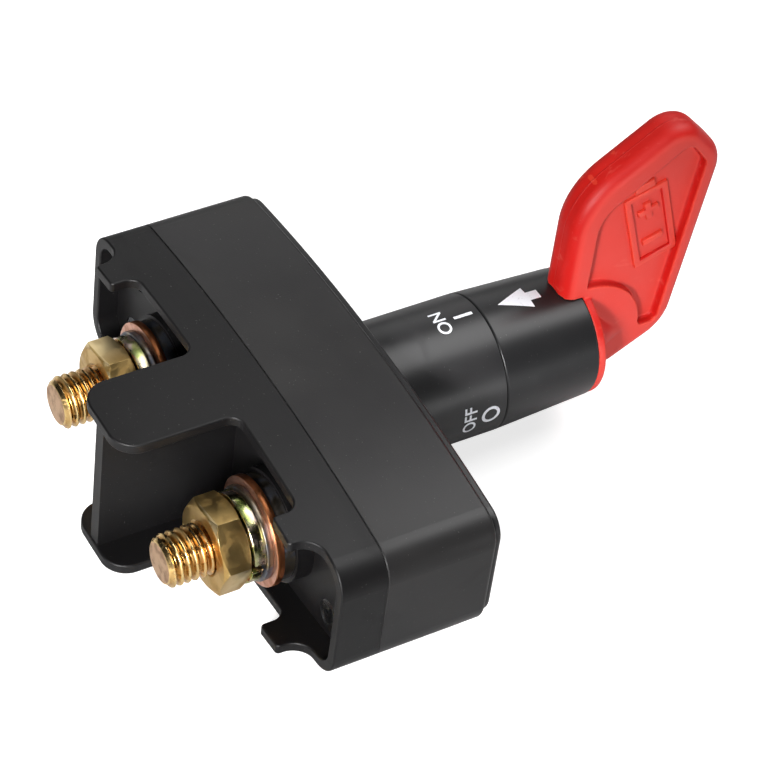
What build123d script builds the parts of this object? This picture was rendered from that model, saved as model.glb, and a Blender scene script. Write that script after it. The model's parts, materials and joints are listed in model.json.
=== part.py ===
"""Panel-mounted battery switch: two threaded terminals, a turning handle and a lifting contact bridge.

Frame: the origin is where the knob axis meets the panel face of the mounting plate.
The terminals point along +Y, the handle along -Y, the case is long in X and +Z is up.
The switch is drawn ON: the contact bridge is closed and the handle stands upright.
"""
from build123d import *
from math import sqrt
import os

os.makedirs("parts", exist_ok=True)

# ---- driving dimensions, millimetres ----
case_width = 97.0
case_height = 34.0
crown_drop = 3.9            # how much lower the case is at its ends than in the middle
corner_radius = 6.0
wall = 2.2
front_wall = 2.5
case_edge_round = 1.0
parting_chamfer = 0.2       # along the joint between the two shells

plate_thickness = 1.5
plate_inset = 1.0
shell_split = 23.5          # depth of the joint between the two shells
rim_reach = 9.3             # from the joint to the open rim round the terminals
floor_thickness = 3.0
floor_reach = 5.0           # from the joint to the floor of the terminal bays

flap_half_width = 8.6
flap_reach = 32.3           # from the joint to the ends of the flaps
flap_corner = 5.0
root_round = 2.5
barrier_thickness = 2.8
tongue_inner = 31.5
tongue_outer = 38.0
tongue_reach = 14.5
tongue_corner = 0.8
tongue_root_round = 4.0

stud_spacing = 42.4
stud_radius = 5.0           # M10
thread_half_depth = 0.49    # from the crest to the pitch line, where the nut is engaged
free_thread_gap = 0.2       # between the nut and the free thread
washer_play = 0.25
stud_reach = 30.2
stud_chamfer = 1.0
stud_head_size = 15.0
stud_head_thickness = 2.5
nut_across_flats = 16.0
nut_thickness = 5.5
nut_turn = {"battery": -10.0, "load": -14.0}
spring_washer_radius = 8.5
spring_washer_thickness = 2.7
spring_washer_split = 1.2
flat_washer_radius = 9.0
flat_washer_thickness = 1.2
copper_washer_radius = 10.45
copper_washer_thickness = 1.5
seat_ring_radius = 10.0
seat_ring_thickness = 2.3
boss_radius = 10.8
boss_height = 3.3
seal_radius = 6.8
seal_thickness = 1.2

neck_radius = 13.55
neck_length = 22.4
neck_wall = 2.6
neck_root_round = 0.8
spigot_radius = 11.0
bush_outer = 8.0
bush_length = 8.0

collar_gap = 0.2
collar_taper = 0.95         # how much smaller the collar's radius is at its outer end
collar_end = 43.5           # distance of the collar's outer end in front of the panel face
collar_edge_round = 0.4
collar_spigot_length = 7.0
collar_spigot_wall = 1.05
collar_web_start = 33.0
socket_side = 10.2
shaft_seal_width = 2.0
shaft_seal_depth = 1.2

spindle_radius = 6.0
spindle_tang = 7.0          # square that drives the cam
screw_radius = 2.5          # M5 through screw
screw_end = 51.0
screw_head_radius = 5.5
screw_head_height = 1.2

blade_thickness = 8.0
blade_edge_round = 2.8
blade_recess = 1.9
blade_heel = 38.9           # distance of the blade's heel in front of the panel face
blade_heel_top = (-blade_heel, 36.1)
blade_point_top = (-60.4, 50.0)
blade_point_side = (-70.4, 39.1)
blade_foot = (-65.4, -2.8)
blade_root = (-53.0, -9.3)
blade_rounds = ((blade_heel_top, 15.0), (blade_point_top, 6.5), (blade_point_side, 8.0), (blade_foot, 9.0))
recess_heel = (-43.9, 31.6)
recess_point_top = (-61.6, 44.4)
recess_point_side = (-66.1, 38.6)
recess_foot = (-62.0, -0.6)
recess_rounds = ((recess_heel, 8.0), (recess_point_top, 2.2), (recess_point_side, 2.2))
recess_hub_radius = 14.3
hub_radius = 12.5
hub_rim = 1.4
hub_end = 55.5
hub_tip_radius = 6.2
scoop_radius = 10.0

panel_bolt_spacing = 72.0
insert_radius = 4.0
insert_bore = 2.5           # M6, drawn at its tapping size
insert_length = 12.0
shell_screw_x = 39.0
shell_screw_z = 7.6
shell_screw_radius = 1.6
shell_screw_head = 3.2
shell_screw_head_height = 1.8
shell_screw_length = 15.0

cam_radius = 12.5
cam_floor_thickness = 1.5
follower_offset = 11.5
follower_radius = 1.5
bridge_travel = 3.0
carrier_thickness = 1.6
carrier_half_length = 13.2
carrier_half_height = 6.5
carrier_start = 12.0
leaf_space = 1.0
leaf_thickness = 0.3
leaf_half_length = 11.0
leaf_half_height = 4.0
bridge_thickness = 2.0
bridge_half_length = 20.0
bridge_half_height = 5.5
tip_offset = 16.0
tip_radius = 3.2
tip_thickness = 0.85
contact_plate_thickness = 2.2
contact_plate_inner = 12.2
contact_plate_half_height = 7.0
contact_gap = 0.05
stem_radius = 2.4
stem_end = 21.0
clip_radius = 4.2
clip_thickness = 0.8
return_wire = 0.65
return_coil_radius = 3.4
return_turns = 3

# ---- clearances ----
running = 0.06              # between a turning shaft and its bore
sliding = 0.3               # between sliding parts and their guides
locating = 0.1              # between fixed parts that plug into each other
follower_clearance = 0.7    # between cam lobe and follower, taken up in mid travel

# ---- derived radii and places along Y ----
thread_pitch_radius = stud_radius - thread_half_depth
washer_bore = stud_radius + washer_play
collar_tip_radius = neck_radius - collar_taper
shroud_floor = shell_split + floor_reach
shroud_rim = shell_split + rim_reach
flap_end = shell_split + flap_reach
tongue_end = shell_split + tongue_reach
stud_end = shell_split + stud_reach
shell_front = plate_thickness
shell_inside = shell_front + front_wall
floor_inside = shroud_floor - floor_thickness
block_start = floor_inside - 2.5
head_start = block_start - stud_head_thickness
plate_start = head_start - contact_plate_thickness
fixed_tip_start = plate_start - tip_thickness
boss_top = shroud_floor + boss_height
seat_top = boss_top + seat_ring_thickness
copper_top = seat_top + copper_washer_thickness
flat_top = copper_top + flat_washer_thickness
spring_top = flat_top + spring_washer_thickness
nut_top = spring_top + nut_thickness
bush_front = shell_inside - bush_length
carrier_top = carrier_start + carrier_thickness
bridge_start = carrier_top + leaf_space
bridge_top = bridge_start + bridge_thickness
bridge_tip_top = fixed_tip_start - contact_gap
thrust_start = shell_inside + 0.1
thrust_thickness = 0.6
cam_start = thrust_start + thrust_thickness
cam_trough = cam_start + cam_floor_thickness
corner_reach = nut_across_flats / sqrt(3)
chamfer_drop = (corner_reach - nut_across_flats / 2) / sqrt(3)
cam_cut_radius = (follower_offset**2 + bridge_travel**2) / (2 * bridge_travel)
neck_bore = neck_radius - neck_wall
crown_radius = ((case_width / 2) ** 2 + crown_drop**2) / (2 * crown_drop)
contact_plate_outer = stud_spacing / 2 + stud_head_size / 2
contact_middle = (contact_plate_inner + contact_plate_outer) / 2
sides = (("battery", -stud_spacing / 2), ("load", stud_spacing / 2))
screw_places = [(x, z) for x in (-shell_screw_x, shell_screw_x) for z in (-shell_screw_z, shell_screw_z)]


def depth(y):
    """The plane across the case at depth y; a negative extrusion grows towards the terminals."""
    return Plane.XZ.offset(-y)


def case_outline(inset):
    """The crowned case outline, set in from the outside by inset."""
    half = case_width / 2 - inset
    crown = case_height / 2 - inset
    bow = crown_radius - inset
    end = crown - bow + sqrt(bow**2 - half**2)
    with BuildSketch() as outline:
        with BuildLine():
            ThreePointArc((-half, end), (0, crown), (half, end))
            Line((half, end), (half, -end))
            ThreePointArc((half, -end), (0, -crown), (-half, -end))
            Line((-half, -end), (-half, end))
        make_face()
        fillet(outline.vertices(), corner_radius - inset)
    return outline.sketch


def ring(start, end, inner, outer, x=0.0):
    """A plain ring about the line through x along Y."""
    with BuildPart() as piece:
        with BuildSketch(depth(start)):
            with Locations((x, 0)):
                Circle(outer)
                Circle(inner, mode=Mode.SUBTRACT)
        extrude(amount=start - end)
    return piece


case_face = case_outline(0)
inner_face = case_outline(wall)
joint_face = case_outline(wall / 2)
plate_face = case_outline(plate_inset)
block_face = case_outline(wall + locating)

# ---- front shell ----
with BuildPart() as front_shell:
    with BuildSketch(depth(shell_front)):
        add(case_face)
    extrude(amount=shell_front - shell_split)
    fillet(edges().group_by(Axis.Y)[0], case_edge_round)
    chamfer(edges().group_by(Axis.Y)[-1], parting_chamfer)
    with BuildSketch(depth(shell_inside)):
        add(inner_face)
    extrude(amount=shell_inside - shell_split, mode=Mode.SUBTRACT)
    with BuildSketch(depth(shell_inside)):
        with Locations(*screw_places):
            Circle(shell_screw_head + 0.2)
    extrude(amount=shell_inside - block_start)
    with BuildSketch(depth(shell_inside)):
        with Locations((-panel_bolt_spacing / 2, 0), (panel_bolt_spacing / 2, 0)):
            Circle(insert_radius + 2.0)
    extrude(amount=shell_inside - insert_length - 1.0)
    with BuildSketch(depth(block_start)):
        with Locations(*screw_places):
            Circle(shell_screw_radius)
    extrude(amount=shell_screw_length - (floor_inside + 1.2 - block_start), mode=Mode.SUBTRACT)
    with BuildSketch(depth(shell_front)):
        with Locations((-panel_bolt_spacing / 2, 0), (panel_bolt_spacing / 2, 0)):
            Circle(insert_radius)
    extrude(amount=shell_front - insert_length, mode=Mode.SUBTRACT)
    with BuildSketch(depth(shell_front)):
        Circle(spigot_radius + locating)
    extrude(amount=-front_wall, mode=Mode.SUBTRACT)
    with BuildSketch(depth(shell_split)):
        add(joint_face)
    extrude(amount=0.6, mode=Mode.SUBTRACT)
front_shell.part.label = "front_shell"
export_step(front_shell.part, "parts/front_shell.step")

# ---- mounting plate with the hollow neck ----
with BuildPart() as neck_housing:
    with BuildSketch(depth(0)):
        add(plate_face)
    extrude(amount=-plate_thickness)
    with BuildSketch(depth(0)):
        Circle(neck_radius)
    extrude(amount=neck_length)
    root = neck_housing.edges().filter_by(GeomType.CIRCLE).group_by(Axis.Y)[1]
    fillet(root, neck_root_round)
    with BuildSketch(depth(shell_front)):
        Circle(spigot_radius)
    extrude(amount=-front_wall)
    with BuildSketch(depth(-neck_length)):
        Circle(neck_bore)
    extrude(amount=-(neck_length + bush_front), mode=Mode.SUBTRACT)
    with BuildSketch(depth(bush_front)):
        Circle(bush_outer)
    extrude(amount=-bush_length, mode=Mode.SUBTRACT)
    with BuildSketch(depth(0)):
        with Locations((-panel_bolt_spacing / 2, 0), (panel_bolt_spacing / 2, 0)):
            Circle(insert_radius)
    extrude(amount=-plate_thickness, mode=Mode.SUBTRACT)
neck_housing.part.label = "neck_housing"
export_step(neck_housing.part, "parts/neck_housing.step")

shroud_rounds = (
    ((flap_half_width, shroud_rim), root_round),
    ((tongue_inner, shroud_rim), root_round),
    ((tongue_outer, shroud_rim), tongue_root_round),
    ((flap_half_width, flap_end), flap_corner),
    ((tongue_inner, tongue_end), tongue_corner),
    ((tongue_outer, tongue_end), tongue_corner),
)

# ---- rear shroud: floor, bay walls, two flaps, four tongues and the barrier between the bays ----
with BuildSketch() as shroud_plan:
    with BuildLine():
        Polyline(
            (0, shell_split),
            (case_width, shell_split),
            (case_width, shroud_rim),
            (tongue_outer, shroud_rim),
            (tongue_outer, tongue_end),
            (tongue_inner, tongue_end),
            (tongue_inner, shroud_rim),
            (flap_half_width, shroud_rim),
            (flap_half_width, flap_end),
            (0, flap_end),
            close=True,
        )
    make_face()
    for corner, radius in shroud_rounds:
        fillet(shroud_plan.vertices().sort_by_distance(corner)[0], radius)
    mirror(about=Plane.YZ)

with BuildPart() as rear_shroud:
    with BuildSketch(depth(shell_split)):
        add(case_face)
    extrude(amount=shell_split - flap_end)
    chamfer(edges().group_by(Axis.Y)[0], parting_chamfer)
    with BuildSketch(depth(shroud_floor)):
        add(inner_face)
    extrude(amount=shroud_floor - flap_end, mode=Mode.SUBTRACT)
    with BuildSketch(depth(shell_split)):
        add(inner_face)
    extrude(amount=shell_split - floor_inside, mode=Mode.SUBTRACT)
    with BuildSketch(Plane.XY.offset(-case_height)):
        add(shroud_plan.sketch)
    extrude(amount=2 * case_height, mode=Mode.INTERSECT)
    rim_edges = rear_shroud.edges().filter_by(
        lambda edge: edge.center().Y > shroud_rim - 0.05 and edge.length > 0.5
    )
    fillet(rim_edges, 0.35)
    with BuildSketch(depth(shroud_floor)):
        Rectangle(barrier_thickness, case_height - wall)
    extrude(amount=shroud_floor - flap_end + 0.35)
    with BuildSketch(depth(shroud_floor)):
        for _, x in sides:
            with Locations((x, 0)):
                Circle(boss_radius)
    extrude(amount=-boss_height)
    with BuildSketch(depth(boss_top)):
        for _, x in sides:
            with Locations((x, 0)):
                Circle(seal_radius)
    extrude(amount=seal_thickness, mode=Mode.SUBTRACT)
    with BuildSketch(depth(boss_top)):
        for _, x in sides:
            with Locations((x, 0)):
                Circle(stud_radius + locating)
    extrude(amount=boss_top - floor_inside, mode=Mode.SUBTRACT)
    with BuildSketch(depth(shroud_floor)):
        with Locations(*screw_places):
            Circle(shell_screw_head + locating)
    extrude(amount=shell_screw_head_height, mode=Mode.SUBTRACT)
    with BuildSketch(depth(shroud_floor)):
        with Locations(*screw_places):
            Circle(shell_screw_radius + locating)
    extrude(amount=floor_thickness, mode=Mode.SUBTRACT)
rear_shroud.part.label = "rear_shroud"
export_step(rear_shroud.part, "parts/rear_shroud.step")

# ---- flat seal between the two shells ----
with BuildPart() as shell_gasket:
    with BuildSketch(depth(shell_split)):
        add(case_outline(wall / 2 + locating))
        add(case_outline(wall - locating), mode=Mode.SUBTRACT)
    extrude(amount=0.6)
shell_gasket.part.label = "shell_gasket"
export_step(shell_gasket.part, "parts/shell_gasket.step")

# ---- insulating block that carries the contacts and guides the carrier ----
with BuildPart() as contact_block:
    with BuildSketch(depth(block_start)):
        add(block_face)
    extrude(amount=block_start - floor_inside)
    with BuildSketch(depth(carrier_start)):
        with Locations((0, carrier_half_height + sliding + 1.2), (0, -carrier_half_height - sliding - 1.2)):
            Rectangle(2 * contact_plate_inner - 3.0, 2.4)
    extrude(amount=carrier_start - block_start)
    with BuildSketch(depth(block_start)):
        Circle(return_coil_radius + return_wire + 0.4)
    extrude(amount=-1.2, mode=Mode.SUBTRACT)
    with BuildSketch(depth(block_start)):
        for _, x in sides:
            with Locations((x, 0)):
                Circle(stud_radius + locating)
        with Locations(*screw_places):
            Circle(shell_screw_radius + locating)
    extrude(amount=block_start - floor_inside, mode=Mode.SUBTRACT)
contact_block.part.label = "contact_block"
export_step(contact_block.part, "parts/contact_block.step")

# ---- one terminal on each side ----
for name, x in sides:
    stud_axis = Plane(origin=(x, 0, 0), x_dir=(1, 0, 0), z_dir=(0, 0, 1))
    with BuildPart() as stud:
        with BuildSketch(depth(head_start)):
            with Locations((x, 0)):
                RectangleRounded(stud_head_size, stud_head_size, 1.5)
        extrude(amount=-stud_head_thickness)
        with BuildSketch(depth(block_start)):
            with Locations((x, 0)):
                Circle(stud_radius)
        extrude(amount=block_start - spring_top)
        with BuildSketch(depth(spring_top)):
            with Locations((x, 0)):
                Circle(thread_pitch_radius)
        extrude(amount=-nut_thickness - free_thread_gap)
        with BuildSketch(depth(nut_top + free_thread_gap)):
            with Locations((x, 0)):
                Circle(stud_radius)
        extrude(amount=nut_top + free_thread_gap - stud_end)
        chamfer(stud.edges().group_by(Axis.Y)[-1], stud_chamfer)
    stud.part.label = f"{name}_stud"
    export_step(stud.part, f"parts/{name}_stud.step")

    seat_ring = ring(boss_top, seat_top, washer_bore, seat_ring_radius, x)
    seat_ring.part.label = f"{name}_seat_ring"
    export_step(seat_ring.part, f"parts/{name}_seat_ring.step")

    copper_washer = ring(seat_top, copper_top, washer_bore, copper_washer_radius, x)
    copper_washer.part.label = f"{name}_copper_washer"
    export_step(copper_washer.part, f"parts/{name}_copper_washer.step")

    flat_washer = ring(copper_top, flat_top, washer_bore, flat_washer_radius, x)
    flat_washer.part.label = f"{name}_flat_washer"
    export_step(flat_washer.part, f"parts/{name}_flat_washer.step")

    with BuildPart() as spring_washer:
        with BuildSketch(depth(flat_top)):
            with Locations((x, 0)):
                Circle(spring_washer_radius)
                Circle(washer_bore, mode=Mode.SUBTRACT)
            with Locations((x - spring_washer_radius / 2, 0)):
                Rectangle(spring_washer_radius, spring_washer_split, mode=Mode.SUBTRACT)
        extrude(amount=-spring_washer_thickness)
    spring_washer.part.label = f"{name}_spring_washer"
    export_step(spring_washer.part, f"parts/{name}_spring_washer.step")

    with BuildPart() as nut:
        with BuildSketch(stud_axis):
            with BuildLine():
                Polyline(
                    (thread_pitch_radius, spring_top),
                    (nut_across_flats / 2, spring_top),
                    (corner_reach, spring_top + chamfer_drop),
                    (corner_reach, nut_top - chamfer_drop),
                    (nut_across_flats / 2, nut_top),
                    (thread_pitch_radius, nut_top),
                    close=True,
                )
            make_face()
        revolve(axis=Axis((x, 0, 0), (0, 1, 0)))
        with BuildSketch(depth(spring_top)):
            with Locations((x, 0)):
                RegularPolygon(nut_across_flats / 2, 6, major_radius=False, rotation=nut_turn[name])
        extrude(amount=-nut_thickness, mode=Mode.INTERSECT)
    nut.part.label = f"{name}_nut"
    export_step(nut.part, f"parts/{name}_nut.step")

    with BuildPart() as contact_plate:
        with BuildSketch(depth(plate_start)):
            with Locations((contact_middle if x > 0 else -contact_middle, 0)):
                Rectangle(contact_plate_outer - contact_plate_inner, 2 * contact_plate_half_height)
        extrude(amount=-contact_plate_thickness)
    contact_plate.part.label = f"{name}_contact"
    export_step(contact_plate.part, f"parts/{name}_contact.step")

with BuildPart() as fixed_tips:
    with BuildSketch(depth(fixed_tip_start)):
        with Locations((-tip_offset, 0), (tip_offset, 0)):
            Circle(tip_radius)
    extrude(amount=-tip_thickness)
fixed_tips.part.label = "fixed_tips"
export_step(fixed_tips.part, "parts/fixed_tips.step")

with BuildPart() as stud_seals:
    with BuildSketch(depth(boss_top - seal_thickness)):
        for _, x in sides:
            with Locations((x, 0)):
                Circle(seal_radius - locating)
                Circle(stud_radius, mode=Mode.SUBTRACT)
    extrude(amount=-seal_thickness)
stud_seals.part.label = "stud_seals"
export_step(stud_seals.part, "parts/stud_seals.step")

with BuildPart() as shell_screws:
    with BuildSketch(depth(shroud_floor - shell_screw_head_height)):
        with Locations(*screw_places):
            Circle(shell_screw_head)
    extrude(amount=-(shell_screw_head_height - 0.2))
    with BuildSketch(depth(shroud_floor - shell_screw_head_height)):
        with Locations(*screw_places):
            Circle(shell_screw_radius)
    extrude(amount=shell_screw_length)
shell_screws.part.label = "shell_screws"
export_step(shell_screws.part, "parts/shell_screws.step")

with BuildPart() as panel_inserts:
    with BuildSketch(depth(0)):
        with Locations((-panel_bolt_spacing / 2, 0), (panel_bolt_spacing / 2, 0)):
            Circle(insert_radius)
            Circle(insert_bore, mode=Mode.SUBTRACT)
    extrude(amount=-insert_length)
panel_inserts.part.label = "panel_inserts"
export_step(panel_inserts.part, "parts/panel_inserts.step")

neck_bush = ring(bush_front, shell_inside, spindle_radius + running, bush_outer)
neck_bush.part.label = "neck_bush"
export_step(neck_bush.part, "parts/neck_bush.step")

# ---- turning parts: collar, handle, spindle, screw, cam ----
collar_start = neck_length + collar_gap
spigot_outer = neck_bore - running - 0.04
with BuildPart() as collar:
    with BuildSketch(Plane.XY):
        with BuildLine():
            Polyline(
                (0, -collar_start),
                (neck_radius, -collar_start),
                (collar_tip_radius, -collar_end),
                (0, -collar_end),
                close=True,
            )
        make_face()
    revolve(axis=Axis.Y)
    fillet(collar.edges().filter_by(GeomType.CIRCLE), collar_edge_round)
    with BuildSketch(depth(-collar_start)):
        Circle(spigot_outer)
    extrude(amount=-collar_spigot_length)
    with BuildSketch(depth(-collar_web_start)):
        Circle(spigot_outer - shaft_seal_depth - collar_spigot_wall)
    extrude(amount=-(collar_web_start - collar_start + collar_spigot_length), mode=Mode.SUBTRACT)
    with BuildSketch(depth(-collar_end)):
        RectangleRounded(socket_side, socket_side, 1.0)
    extrude(amount=-(collar_end - collar_web_start), mode=Mode.SUBTRACT)
    with BuildSketch(depth(-collar_start + collar_spigot_length / 2)):
        Circle(spigot_outer)
        Circle(spigot_outer - shaft_seal_depth, mode=Mode.SUBTRACT)
    extrude(amount=-shaft_seal_width, mode=Mode.SUBTRACT)
collar.part.label = "collar"
export_step(collar.part, "parts/collar.step")

seal_start = -collar_start + collar_spigot_length / 2
shaft_seal = ring(seal_start, seal_start + shaft_seal_width, spigot_outer - shaft_seal_depth, neck_bore - 0.02)
shaft_seal.part.label = "shaft_seal"
export_step(shaft_seal.part, "parts/shaft_seal.step")

tang_end = (collar_end + collar_web_start) / 2
with BuildPart() as spindle:
    with BuildSketch(depth(cam_start)):
        Circle(spindle_radius)
    extrude(amount=cam_start + collar_web_start)
    with BuildSketch(depth(-collar_web_start)):
        RectangleRounded(socket_side - 2 * locating, socket_side - 2 * locating, 1.0)
    extrude(amount=tang_end - collar_web_start)
    with BuildSketch(depth(cam_start)):
        Rectangle(spindle_tang, spindle_tang)
    extrude(amount=-cam_floor_thickness)
    with BuildSketch(depth(cam_trough)):
        Circle(screw_radius + locating)
    extrude(amount=cam_trough + tang_end, mode=Mode.SUBTRACT)
spindle.part.label = "spindle"
export_step(spindle.part, "parts/spindle.step")

# the blade stands in the plane of the knob axis: heel towards the case, point up and outwards
with BuildPart() as handle:
    with BuildSketch(Plane.YZ.offset(-blade_thickness / 2)) as blade_outline:
        with BuildLine():
            Polyline(
                (-blade_heel, 5.0),
                blade_heel_top,
                blade_point_top,
                blade_point_side,
                blade_foot,
                blade_root,
                (-collar_end, blade_root[1]),
                close=True,
            )
        make_face()
        for corner, radius in blade_rounds:
            fillet(blade_outline.vertices().sort_by_distance(corner)[0], radius)
    extrude(amount=blade_thickness)
    fillet(handle.edges().filter_by(Plane.YZ), blade_edge_round)
    with BuildSketch(Plane.YZ.offset(blade_thickness / 2)) as recess_outline:
        with BuildLine():
            Polyline(
                (recess_heel[0], 10.0),
                recess_heel,
                recess_point_top,
                recess_point_side,
                recess_foot,
                (-57.0, recess_foot[1]),
                close=True,
            )
        make_face()
        for corner, radius in recess_rounds:
            fillet(recess_outline.vertices().sort_by_distance(corner)[0], radius)
        with Locations((-collar_end, 0)):
            Circle(recess_hub_radius, mode=Mode.SUBTRACT)
        fillet(recess_outline.vertices().group_by(Axis.Y)[0], 1.5)
    extrude(amount=-blade_recess, mode=Mode.SUBTRACT)
    with BuildSketch(Plane.YZ.offset(-blade_thickness / 2)):
        add(recess_outline.sketch_local)
    extrude(amount=blade_recess, mode=Mode.SUBTRACT)
    with BuildSketch(Plane.XY) as hub_outline:
        with BuildLine():
            Polyline(
                (0, -collar_end),
                (hub_radius, -collar_end),
                (hub_radius, -collar_end - hub_rim),
                (hub_tip_radius, -hub_end),
                (0, -hub_end),
                close=True,
            )
        make_face()
        with Locations((blade_thickness / 2 + scoop_radius, -hub_end + 0.5)):
            Circle(scoop_radius, mode=Mode.SUBTRACT)
    revolve(axis=Axis.Y)
    with BuildSketch(depth(-collar_end)):
        Circle(collar_tip_radius + 0.35)
    extrude(amount=-(collar_end - blade_heel), mode=Mode.SUBTRACT)
    with BuildSketch(depth(-collar_end)):
        RectangleRounded(socket_side - 2 * locating, socket_side - 2 * locating, 1.0)
    extrude(amount=-(collar_end - tang_end))
    with BuildSketch(depth(-tang_end)):
        Circle(screw_radius)
    extrude(amount=screw_end - tang_end, mode=Mode.SUBTRACT)
handle.part.label = "handle"
export_step(handle.part, "parts/handle.step")

thrust_washer = ring(thrust_start, cam_start, spindle_radius + running, cam_radius - 2.0)
thrust_washer.part.label = "thrust_washer"
export_step(thrust_washer.part, "parts/thrust_washer.step")

with BuildPart() as cam:
    with BuildSketch(depth(cam_start)):
        Circle(cam_radius)
        Rectangle(spindle_tang + 2 * locating, spindle_tang + 2 * locating, mode=Mode.SUBTRACT)
    extrude(amount=-(cam_floor_thickness + cam_cut_radius - sqrt(cam_cut_radius**2 - cam_radius**2) - 0.2))
    with BuildSketch(Plane.XY.offset(-cam_radius)):
        with Locations((0, cam_trough + cam_cut_radius)):
            Circle(cam_cut_radius)
    extrude(amount=2 * cam_radius, mode=Mode.SUBTRACT)
    with BuildSketch(depth(cam_trough)):
        Circle(screw_head_radius + locating)
    extrude(amount=-bridge_travel, mode=Mode.SUBTRACT)
cam.part.label = "cam"
export_step(cam.part, "parts/cam.step")

with BuildPart() as through_screw:
    with BuildSketch(depth(cam_trough)):
        Circle(screw_head_radius)
    extrude(amount=-screw_head_height)
    with BuildSketch(depth(cam_trough)):
        Circle(screw_radius)
    extrude(amount=cam_trough + screw_end)
through_screw.part.label = "through_screw"
export_step(through_screw.part, "parts/through_screw.step")

# ---- lifting contact bridge ----
follower_tip = cam_trough + bridge_travel + follower_clearance
with BuildPart() as bridge_carrier:
    with BuildSketch(depth(carrier_start)):
        Rectangle(2 * carrier_half_length, 2 * carrier_half_height)
    extrude(amount=-carrier_thickness)
    with BuildSketch(depth(carrier_top)):
        Circle(stem_radius)
    extrude(amount=carrier_top - stem_end)
    with BuildSketch(depth(follower_tip + follower_radius)):
        with Locations((-follower_offset, 0), (follower_offset, 0)):
            Circle(follower_radius)
    extrude(amount=follower_tip + follower_radius - carrier_start)
    with Locations(
        (-follower_offset, follower_tip + follower_radius, 0),
        (follower_offset, follower_tip + follower_radius, 0),
    ):
        Sphere(follower_radius)
bridge_carrier.part.label = "bridge_carrier"
export_step(bridge_carrier.part, "parts/bridge_carrier.step")

with BuildPart() as contact_spring:
    with BuildSketch(Plane.XY.offset(-leaf_half_height)):
        with BuildLine():
            ThreePointArc(
                (-leaf_half_length, bridge_start),
                (0, carrier_top + leaf_thickness),
                (leaf_half_length, bridge_start),
            )
            Line((leaf_half_length, bridge_start), (leaf_half_length, bridge_start - leaf_thickness))
            ThreePointArc(
                (leaf_half_length, bridge_start - leaf_thickness),
                (0, carrier_top),
                (-leaf_half_length, bridge_start - leaf_thickness),
            )
            Line((-leaf_half_length, bridge_start - leaf_thickness), (-leaf_half_length, bridge_start))
        make_face()
    extrude(amount=2 * leaf_half_height)
    with BuildSketch(depth(carrier_top)):
        Circle(stem_radius + sliding)
    extrude(amount=-leaf_space, mode=Mode.SUBTRACT)
contact_spring.part.label = "contact_spring"
export_step(contact_spring.part, "parts/contact_spring.step")

with BuildPart() as contact_bridge:
    with BuildSketch(depth(bridge_start)):
        RectangleRounded(2 * bridge_half_length, 2 * bridge_half_height, 1.5)
        Circle(stem_radius + sliding, mode=Mode.SUBTRACT)
    extrude(amount=-bridge_thickness)
contact_bridge.part.label = "contact_bridge"
export_step(contact_bridge.part, "parts/contact_bridge.step")

with BuildPart() as bridge_tips:
    with BuildSketch(depth(bridge_top)):
        with Locations((-tip_offset, 0), (tip_offset, 0)):
            Circle(tip_radius)
    extrude(amount=bridge_top - bridge_tip_top)
bridge_tips.part.label = "bridge_tips"
export_step(bridge_tips.part, "parts/bridge_tips.step")

clip_start = bridge_top + sliding
clip_top = clip_start + clip_thickness
stem_clip = ring(clip_start, clip_top, stem_radius, clip_radius)
stem_clip.part.label = "stem_clip"
export_step(stem_clip.part, "parts/stem_clip.step")

# ---- return spring, between the clip and the pocket in the contact block ----
spring_length = block_start + 1.2 - clip_top - return_wire
with BuildPart() as return_spring:
    with BuildLine() as coil:
        Helix(
            pitch=spring_length / return_turns,
            height=spring_length,
            radius=return_coil_radius,
            center=(0, clip_top + return_wire / 2, 0),
            direction=(0, 1, 0),
        )
    with BuildSketch(Plane(origin=coil.line @ 0, z_dir=coil.line % 0)):
        Circle(return_wire / 2)
    sweep()
return_spring.part.label = "return_spring"
export_step(return_spring.part, "parts/return_spring.step")
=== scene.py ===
"""Battery switch: finished pieces and finishes round the fixed frame.

The frame is in metres, +Y towards the terminals, +Z up where the handle points when ON.
Sizes below are in millimetres and go through mm().
"""
import json
import math
import bmesh
import bpy
from mathutils import Matrix, Vector


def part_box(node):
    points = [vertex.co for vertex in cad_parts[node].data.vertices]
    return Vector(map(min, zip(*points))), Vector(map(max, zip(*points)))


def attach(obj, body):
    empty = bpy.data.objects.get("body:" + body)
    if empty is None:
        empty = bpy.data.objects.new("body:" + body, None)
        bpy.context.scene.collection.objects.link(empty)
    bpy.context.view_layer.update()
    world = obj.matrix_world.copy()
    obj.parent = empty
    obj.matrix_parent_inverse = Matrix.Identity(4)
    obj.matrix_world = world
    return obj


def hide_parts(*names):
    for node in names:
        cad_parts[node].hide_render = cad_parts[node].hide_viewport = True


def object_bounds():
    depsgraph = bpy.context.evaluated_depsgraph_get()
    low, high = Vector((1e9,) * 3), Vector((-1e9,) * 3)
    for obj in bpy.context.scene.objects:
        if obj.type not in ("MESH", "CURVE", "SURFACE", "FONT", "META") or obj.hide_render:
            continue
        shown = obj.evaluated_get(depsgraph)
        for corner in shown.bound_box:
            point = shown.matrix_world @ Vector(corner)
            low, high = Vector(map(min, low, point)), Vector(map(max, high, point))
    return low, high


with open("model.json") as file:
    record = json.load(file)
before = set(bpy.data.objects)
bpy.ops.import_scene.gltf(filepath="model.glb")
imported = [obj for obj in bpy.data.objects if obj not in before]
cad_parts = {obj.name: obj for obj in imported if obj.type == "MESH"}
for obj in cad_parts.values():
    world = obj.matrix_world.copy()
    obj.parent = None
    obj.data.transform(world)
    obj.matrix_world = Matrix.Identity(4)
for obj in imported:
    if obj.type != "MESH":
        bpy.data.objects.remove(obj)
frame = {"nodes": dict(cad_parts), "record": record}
cad_low, cad_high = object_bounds()
scene = bpy.context.scene


def mm(value):
    return value * 0.001


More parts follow.
